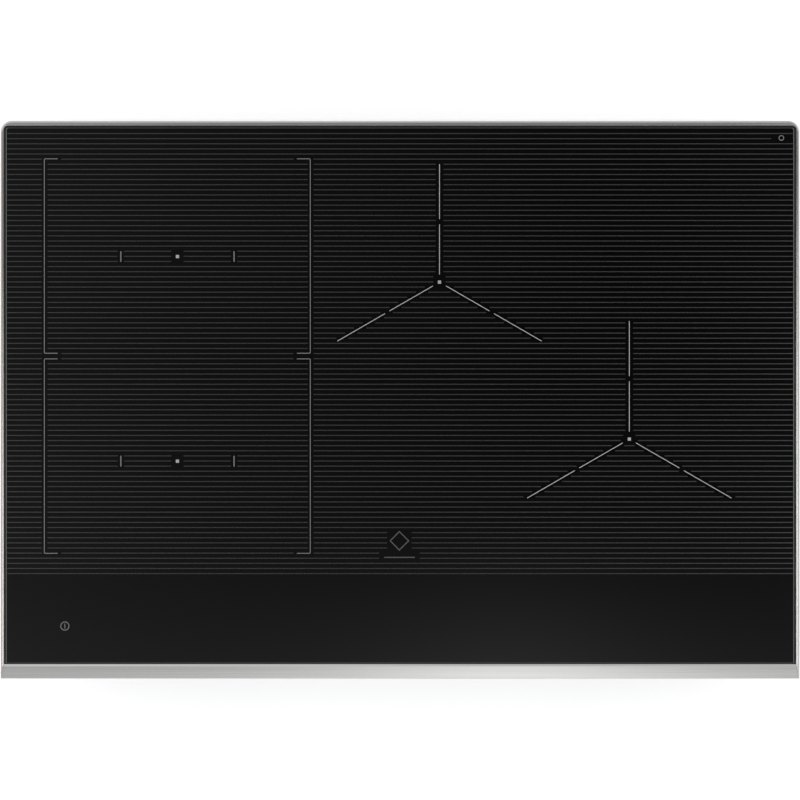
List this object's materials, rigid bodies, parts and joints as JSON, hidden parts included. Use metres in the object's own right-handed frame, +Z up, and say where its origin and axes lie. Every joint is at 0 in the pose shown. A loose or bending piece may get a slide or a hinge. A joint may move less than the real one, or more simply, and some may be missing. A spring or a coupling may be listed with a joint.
{
  "type": "induction cooktop",
  "caption": "Built-in electric induction cooktop: black glass top in a stainless trim over a shallow vented case, with hold-down clamps for a worktop cut-out.",
  "frame": {"origin": "centre of the trim's outline, on the plane of the worktop that the gasket rests on", "axes": "+X to the right along the front edge, +Y from the front to the back, +Z up out of the worktop"},
  "size_m": [0.781, 0.546, 0.1048],
  "materials": {
    "black_glass": "gloss",
    "brushed_trim": "satin",
    "black_silicone": "satin",
    "foam_gasket": "matte",
    "black_steel": "satin",
    "zinc_steel": "satin",
    "bright_steel": "satin",
    "cast_zinc": "satin",
    "pale_plastic": "matte",
    "black_plastic": "matte",
    "grey_plastic": "satin",
    "green_board": "gloss",
    "sheet_aluminium": "satin",
    "copper_wire": "satin",
    "silicone_sleeve": "satin",
    "brass_post": "satin",
    "ferrite": "matte",
    "mica": "satin",
    "white_ceramic": "matte",
    "carbon_rubber": "matte",
    "printed_enamel": "satin"
  },
  "bodies": {
    "cooktop": {"board_standoffs": "brass_post", "burner_box": "zinc_steel", "bus_capacitors": "grey_plastic", "case_screws": "bright_steel", "chokes": "copper_wire", "coil_leads": "silicone_sleeve", "coil_springs": "bright_steel", "conduit_connector": "cast_zinc", "conduit_locknut": "cast_zinc", "control_board": "green_board", "control_bracket": "black_plastic", "cooktop_glass": "black_glass", "filter_board": "green_board", "glass_frame": "black_steel", "glass_seal": "black_silicone", "left_blower_housing": "black_plastic", "left_clamp_bracket": "zinc_steel", "left_coil_tray": "sheet_aluminium", "left_front_coil_former": "pale_plastic", "left_front_coil_winding": "copper_wire", "left_front_ferrites": "ferrite", "left_front_mica_sheet": "mica", "left_front_sensor": "white_ceramic", "left_heatsink": "sheet_aluminium", "left_power_board": "green_board", "left_rear_coil_former": "pale_plastic", "left_rear_coil_winding": "copper_wire", "left_rear_ferrites": "ferrite", "left_rear_mica_sheet": "mica", "left_rear_sensor": "white_ceramic", "power_transistors": "black_plastic", "right_blower_housing": "black_plastic", "right_clamp_bracket": "zinc_steel", "right_coil_tray": "sheet_aluminium", "right_front_coil_former": "pale_plastic", "right_front_coil_winding": "copper_wire", "right_front_ferrites": "ferrite", "right_front_mica_sheet": "mica", "right_front_sensor": "white_ceramic", "right_heatsink": "sheet_aluminium", "right_power_board": "green_board", "right_rear_coil_former": "pale_plastic", "right_rear_coil_winding": "copper_wire", "right_rear_ferrites": "ferrite", "right_rear_mica_sheet": "mica", "right_rear_sensor": "white_ceramic", "terminal_block": "pale_plastic", "touch_pads": "carbon_rubber", "trim_front": "brushed_trim", "trim_rear_sides": "brushed_trim", "worktop_gasket": "foam_gasket"},
    "left_blower_impeller": {"left_blower_impeller": "grey_plastic"},
    "right_blower_impeller": {"right_blower_impeller": "grey_plastic"},
    "left_clamp_foot": {"left_clamp_foot": "bright_steel"},
    "left_clamp_screw": {"left_clamp_screw": "bright_steel"},
    "right_clamp_foot": {"right_clamp_foot": "bright_steel"},
    "right_clamp_screw": {"right_clamp_screw": "bright_steel"}
  },
  "joints": [
    {"name": "left_blower_spin", "type": "hinge", "parent": "cooktop", "child": "left_blower_impeller", "pos_m": [-0.217, 0.165, -0.076], "axis": [0, 0, 1], "continuous": true},
    {"name": "right_blower_spin", "type": "hinge", "parent": "cooktop", "child": "right_blower_impeller", "pos_m": [0.105, 0.165, -0.076], "axis": [0, 0, 1], "continuous": true},
    {"name": "left_clamp_slide", "type": "slide", "parent": "cooktop", "child": "left_clamp_foot", "axis": [0, 0, 1], "range_m": [0, 0.026]},
    {"name": "left_clamp_turn", "type": "hinge", "parent": "left_clamp_foot", "child": "left_clamp_screw", "pos_m": [-0.378, 0.06, -0.07], "axis": [0, 0, 1], "range_deg": [0, 7371]},
    {"name": "right_clamp_slide", "type": "slide", "parent": "cooktop", "child": "right_clamp_foot", "axis": [0, 0, 1], "range_m": [0, 0.026]},
    {"name": "right_clamp_turn", "type": "hinge", "parent": "right_clamp_foot", "child": "right_clamp_screw", "pos_m": [0.378, 0.06, -0.07], "axis": [0, 0, 1], "range_deg": [0, 7371]}
  ],
  "couplings": [
    {"joint": "left_clamp_turn", "follows": "left_clamp_slide", "rad_per_m": 4947.4},
    {"joint": "right_clamp_turn", "follows": "right_clamp_slide", "rad_per_m": 4947.4}
  ]
}
